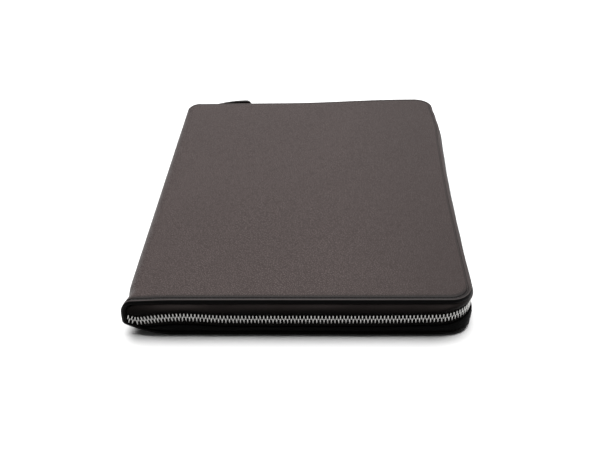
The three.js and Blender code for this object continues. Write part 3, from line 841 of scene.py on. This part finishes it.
def stitches(path, normal, pitch, length, width, height, first=0.0, closed=True):
    """Stitches along a path: flattened ellipsoids, each along the path and sunk half into the surface.

    An ellipsoid's point is cos a along, sin a cos b across and sin a sin b up, times its half sizes.
    """
    if closed:
        path = np.concatenate([path, path[:1]])
        normal = np.concatenate([normal, normal[:1]])
    run = path_length(path)
    marks = np.arange(first, run[-1] - pitch / 2, pitch)
    along = unit(along_path(path, run, marks + length / 2) - along_path(path, run, marks - length / 2))
    up = unit(along_path(normal, run, marks))
    side = unit(np.cross(up, along))
    blunt = 0.16
    a = np.linspace(blunt, math.pi - blunt, 6)[:, None]
    b = (np.arange(6) * math.pi / 3)[None]
    ahead, across, above = np.cos(a) + 0 * b, np.sin(a) * np.cos(b), np.sin(a) * np.sin(b)
    spots = along_path(path, run, marks)[:, None, None]
    return (spots + (ahead * length / 2)[None, ..., None] * along[:, None, None]
            + (across * width / 2)[None, ..., None] * side[:, None, None]
            + (above * height / 2)[None, ..., None] * up[:, None, None])


def edge_strip(outer, inner):
    """The wall's painted edge, from the outer skin's border to the inner's.

    It bulges as a power of the sine of the share between them.
    """
    near, far = rim_loop(outer, RIM_EDGE), rim_loop(inner, RIM_EDGE)
    away = unit(far - rim_loop_inside(inner))
    share = np.linspace(0, 1, 9)
    bulge = EDGE_BULGE * np.sin(math.pi * share) ** 0.7
    grid = lerp(near[:, None], far[:, None], share[None, :, None]) + bulge[None, :, None] * away[:, None]
    return np.concatenate([grid, grid[:1]])


def rim_loop_inside(grid):
    """For each point of the border loop, the grid's point one step inside it."""
    middle = grid[1:-1, 1:-1]
    rows = np.clip(np.arange(grid.shape[0]) - 1, 0, middle.shape[0] - 1)
    columns = np.clip(np.arange(grid.shape[1]) - 1, 0, middle.shape[1] - 1)
    return rim_loop(middle[rows][:, columns], RIM_EDGE)


thread = waxed_thread()
bright_nickel = nickel("nickel teeth", 0.26)
slider_nickel = nickel("nickel slider", 0.16)

outer, inner, inset = cover_skins()
Form().grid(outer, inset=inset[..., None]).grid(inner, paint=1).grid(edge_strip(outer, inner), paint=2).build(
    "pebbled_cover", [cover_leather(), lining_leather(), edge_paint()], "cover_leather", ["cover"])
seam, seam_normal = rim_loop(outer, CREASE_RING), rim_loop(grid_normals(outer), CREASE_RING)
Form().copies(stitches(seam, seam_normal, pitch=3.1, length=2.4, width=0.36, height=0.26)).build(
    "cover_stitches", [thread], "cover_leather", merge=False)

leather = gusset_leather()
for name, side, start in (("upper", 1, GUSSET_START), ("lower", -1, LOWER_GUSSET_START)):
    Form().grid(gusset_band(side, start), wrap=True, caps=True).build(
        f"{name}_gusset", [leather], "gusset_leather", [f"gusset_{name}"])

weave = woven_tape()
for name, side, start in (("upper", 1, TAPE_START), ("lower", -1, LOWER_TAPE_START)):
    grid, flat = tape_band(side, start)
    Form().grid(grid, wrap=True, caps=True, flat=flat).build(
        f"{name}_tape", [weave], "zip_tape", [f"zip_tape_{name}"])

Form().copies(teeth(1, 0.4)).copies(teeth(-1, 0.4 + TOOTH_PITCH / 2)).build(
    "zip_teeth", [bright_nickel], "zip_metal", ["zip_chain"], merge=False, sharp=50)

# The slider, link and pull share a frame on the chain; the link and pull tilt up together.
PLATE_INNER = CHAIN_THICKNESS / 2 + GAP
PLATE_OUTER = PLATE_INNER + SLIDER_PLATE
CROWN_INNER = PLATE_OUTER + LINK_WIRE + CROWN_PLAY + GAP
FITTING = np.array([SLIDER_AT, HALF_LENGTH + CHAIN_OUT, ZIP_LEVEL])
PULL_OUT = CROWN_INNER - GAP - LINK_WIRE / 2
LINK_INNER_LENGTH, LINK_INNER_WIDTH = LINK_LENGTH - 2 * LINK_WIRE, STRAP_WIDTH + 2 * GAP


def tilted(points):
    """Points of the pull's frame, turned up by STRAP_RISE about the crown, in the case's frame."""
    x, y, z = np.moveaxis(points, -1, 0)
    cos, sin = math.cos(STRAP_RISE), math.sin(STRAP_RISE)
    return np.stack([x * cos - z * sin, y + PULL_OUT, x * sin + z * cos], -1) + FITTING


def powered(values, power):
    """Values raised to a power with their sign kept, which squares a circle's cosine and sine."""
    return np.sign(values) * np.abs(values) ** power


def narrowed(x):
    """The slider's breadth at a place along it, as a share: it narrows by a fifth towards its rear."""
    return 1 - 0.2 * smooth(-x, 0, SLIDER_LENGTH / 2)


def plate(out_low, out_high):
    """A slider plate: a shield outline, (cos a, sin a) to a power, rounded in at both faces."""
    turn = np.linspace(0, 2 * math.pi, 48, endpoint=False)[None]
    share = np.array([0, 0.06, 0.25, 0.5, 0.75, 0.94, 1])[:, None]
    inset = 0.55 * np.abs(2 * share - 1) ** 5
    x = powered(np.cos(turn), 0.62) * (SLIDER_LENGTH / 2 - inset)
    z = powered(np.sin(turn), 0.5) * (SLIDER_WIDTH / 2 - inset) * narrowed(x)
    return np.stack([x, lerp(out_low, out_high, share) + 0 * x, z], -1) + FITTING


def band_along(path, across, half_width, half_thick, corners=16, power=0.45):
    """A rounded section carried along a path.

    Across is the width's direction, and the thickness is square to it and to the path.
    """
    path = np.asarray(path, float)
    ahead = unit(np.gradient(path, axis=0))
    across = np.broadcast_to(np.asarray(across, float), path.shape)
    thick = unit(np.cross(ahead, across))
    turn = np.linspace(0, 2 * math.pi, corners, endpoint=False)
    wide, deep = powered(np.cos(turn), power), powered(np.sin(turn), power)
    half_width = np.broadcast_to(half_width, len(path))[:, None, None]
    return (path[:, None] + half_width * wide[None, :, None] * across[:, None]
            + half_thick * deep[None, :, None] * thick[:, None])


def crown():
    """The slider's bail: a band that rises from the plate, crosses and comes down, with round shoulders."""
    foot, top = CROWN_LENGTH / 2 - CROWN_WALL / 2, CROWN_INNER + CROWN_WALL / 2
    turn = np.linspace(0, math.pi, 25)
    x = foot * powered(np.cos(turn), 0.5)
    y = lerp(PLATE_OUTER - 0.4, top, np.sin(turn) ** 0.55)
    return band_along(np.stack([x, y, 0 * x], -1) + FITTING, (0, 0, 1), CROWN_WIDTH / 2, CROWN_WALL / 2)


def flange(out_sign, side):
    """A slider plate's turned edge, a short band along its side that leaves a slot for the tape."""
    x = np.linspace(-SLIDER_LENGTH / 2 + 1.2, SLIDER_LENGTH / 2 - 1.4, 9)
    z = side * (SLIDER_WIDTH / 2 - 0.55) * narrowed(x)
    y = out_sign * (PLATE_INNER - 0.1)
    path = np.stack([x, np.full_like(x, y), z], -1) + FITTING
    return band_along(path, (0, 1, 0), 0.62, 0.45, 12, 0.7)


slider = Form()
slider.grid(plate(PLATE_INNER, PLATE_OUTER), wrap=True, caps=True)
slider.grid(plate(-PLATE_OUTER, -PLATE_INNER), wrap=True, caps=True)
for out_sign in (-1, 1):
    for side in (-1, 1):
        slider.grid(flange(out_sign, side), wrap=True, caps=True)
post = np.linspace(-PLATE_INNER - 0.2, PLATE_INNER + 0.2, 5)
post_path = np.stack([np.full(5, 1.7 - SLIDER_LENGTH / 2), post, 0 * post], -1) + FITTING
slider.grid(band_along(post_path, (1, 0, 0), 1.2, 1.1, 16, 0.8), wrap=True, caps=True)
slider.grid(crown(), wrap=True, caps=True)
slider.build("zip_slider_body", [slider_nickel], "zip_metal", ["zip_slider"], merge=False)


def link_ring():
    """The link: round wire along a rectangle with rounded corners."""
    length, width = LINK_INNER_LENGTH + LINK_WIRE, LINK_INNER_WIDTH + LINK_WIRE
    corner, path = 1.1, []
    for cx, cz, start in ((1, 1, 0), (-1, 1, 90), (-1, -1, 180), (1, -1, 270)):
        angle = np.radians(np.linspace(start, start + 90, 8))
        path.append(np.stack([
            LINK_INNER_LENGTH / 2 + cx * (length / 2 - corner) + corner * np.cos(angle),
            0 * angle, cz * (width / 2 - corner) + corner * np.sin(angle)], -1))
    path = np.concatenate(path + [path[0][:1]]) + (LINK_WIRE / 2, 0, 0)
    ahead = unit(np.roll(path, -1, 0) - np.roll(path, 1, 0))
    ahead[0] = ahead[-1] = (0, 0, 1)
    turn = np.linspace(0, 2 * math.pi, 12, endpoint=False)
    side = unit(np.cross(ahead, (0, 1, 0)))
    return (path[:, None] + LINK_WIRE / 2 * (np.cos(turn)[None, :, None] * side[:, None]
            + np.sin(turn)[None, :, None] * np.array((0, 1, 0))))


Form().grid(tilted(link_ring()), wrap=True).build(
    "pull_link_wire", [slider_nickel], "zip_metal", ["pull_link"])

# The pull: one strip folded round the link's far bar, its two plies sewn together.
STRAP_AT = LINK_INNER_LENGTH + LINK_WIRE
LINK_EYE = LINK_WIRE * math.sqrt(0.5) + GAP
PLY = STRAP_THICKNESS / 2
THROAT = 2 * (LINK_EYE + PLY)
STRAIGHT = STRAP_LENGTH - STRAP_END_RADIUS
SEAM_INSET, FACES_APART = 1.2, 0.02


def strap_droop(x):
    """How far the tongue hangs at a distance: the square of its share of the free length."""
    return STRAP_DROOP * np.clip((x - THROAT) / (STRAP_LENGTH - THROAT), 0, 1) ** 2


def strap_half_width(x):
    """Half the strip's width: full, then rounded off at the end by a quarter circle at each corner."""
    past = np.clip(x - STRAIGHT, 0, STRAP_END_RADIUS)
    return STRAP_WIDTH / 2 - (STRAP_END_RADIUS - np.sqrt(np.maximum(0, STRAP_END_RADIUS**2 - past**2)))


def strap_strip():
    """The folded strip: in along one ply, round the bar on an arc and back along the other."""
    middle = LINK_EYE + PLY / 2
    tip = STRAP_LENGTH - STRAP_END_RADIUS * (1 - np.sin(np.linspace(math.pi / 2, 0, 10)))
    run = np.concatenate([tip, np.linspace(STRAIGHT, THROAT, 22)[1:]])
    turn = np.radians(np.linspace(68, 292, 22))
    meet = np.linspace(0, 1, 8)[1:-1]
    arc_x, arc_y = middle * np.cos(turn), middle * np.sin(turn)
    join_x, join_y = lerp(THROAT, arc_x[0], meet), lerp(PLY / 2, arc_y[0], smooth(meet, 0, 1))
    x = np.concatenate([run, join_x, arc_x, join_x[::-1], run[::-1]])
    y = np.concatenate([run * 0 + PLY / 2, join_y, arc_y, -join_y[::-1], run * 0 - PLY / 2])
    path = np.stack([x, y, -strap_droop(x)], -1)
    return band_along(path, (0, 0, 1), strap_half_width(x), PLY / 2 - FACES_APART, 20, 0.3) + (STRAP_AT, 0, 0)


Form().grid(tilted(strap_strip()), wrap=True, caps=True).build(
    "pull_strap_leather", [pull_leather()], "pull_leather", ["pull_strap"])
sewn = Form()
run = np.linspace(THROAT + 0.5, STRAP_LENGTH - 1.4, 60)
for face in (-1, 1):
    for side in (-1, 1):
        beside = np.maximum(strap_half_width(run) - SEAM_INSET, 0.4)
        line = np.stack([run + STRAP_AT, run * 0 + face * (PLY - FACES_APART),
                         side * beside - strap_droop(run)], -1)
        away = tilted(line + (0, face, 0)) - tilted(line)
        sewn.copies(stitches(tilted(line), away, pitch=2.4, length=1.9, width=0.4, height=0.3,
                             first=1.2, closed=False))
sewn.build("pull_stitches", [thread], "pull_leather", merge=False)


# Floor, light and camera.


def studio():
    """A pale floor under one wide soft light, overhead and a little behind.

    The room looks pale to the camera and lights dimly, and the floor throws no soft light back on the case.
    """
    floor = Finish("pale floor", Specular_IOR_Level=0.0, Roughness=1.0)
    mottle = floor.noise(floor.place(), 3.0)
    paper = floor.varies(Base_Color=floor.mix(mottle, colour(0.62, 0.62, 0.62), colour(0.63, 0.63, 0.63)))
    mesh = bpy.data.meshes.new("floor")
    reach = 6.0
    corners = [(-reach, -reach, 0), (reach, -reach, 0), (reach, reach, 0), (-reach, reach, 0)]
    mesh.from_pydata(corners, [], [(0, 1, 2, 3)])
    mesh.materials.append(paper)
    ground = bpy.data.objects.new("floor", mesh)
    bpy.context.scene.collection.objects.link(ground)
    ground.visible_diffuse = False
    lighting, looking = 0.08, 0.95
    world = bpy.data.worlds.new("room")
    bpy.context.scene.world = world
    world.use_nodes = True
    dim = world.node_tree.nodes["Background"]
    dim.inputs["Color"].default_value = (1, 1, 1, 1)
    seen = world.node_tree.nodes.new("ShaderNodeLightPath")
    strength = world.node_tree.nodes.new("ShaderNodeMapRange")
    strength.inputs["To Min"].default_value = lighting
    strength.inputs["To Max"].default_value = looking
    world.node_tree.links.new(seen.outputs["Is Camera Ray"], strength.inputs["Value"])
    world.node_tree.links.new(strength.outputs["Result"], dim.inputs["Strength"])
    lamp = bpy.data.lights.new("wide overhead light", "SUN")
    lamp.energy, lamp.angle = 8.9, math.radians(72)
    light = bpy.data.objects.new("wide overhead light", lamp)
    light.rotation_mode = "QUATERNION"
    light.rotation_quaternion = Vector((0.0, -0.4, -1.0)).to_track_quat("-Z", "Y")
    bpy.context.scene.collection.objects.link(light)


def camera():
    """The photograph's view: from in front of the case and above it. The focal length is in pixels."""
    yaw, pitch, roll, focal = -0.04887, 0.56803, 0.0303, 879.94
    picture_width, sensor = 600, 36.0
    ahead = Vector((math.sin(yaw) * math.cos(pitch), math.cos(yaw) * math.cos(pitch), -math.sin(pitch)))
    right = Vector((math.cos(yaw), -math.sin(yaw), 0))
    down = ahead.cross(right)
    level = math.cos(roll) * right + math.sin(roll) * down
    below = math.cos(roll) * down - math.sin(roll) * right
    lens = bpy.data.cameras.new("view")
    lens.sensor_width, lens.lens = sensor, focal / picture_width * sensor
    lens.clip_start, lens.clip_end = 0.01, 100.0
    view = bpy.data.objects.new("view", lens)
    spot = placed(np.array([29.06 + CASE_WIDTH / 2, -671.32, 415.77]))
    turned = Matrix((level, -below, -ahead)).transposed().to_4x4()
    view.matrix_world = Matrix.Translation(Vector(spot)) @ turned
    bpy.context.scene.collection.objects.link(view)
    bpy.context.scene.camera = view


studio()
camera()
bpy.context.scene.view_settings.view_transform = "Standard"
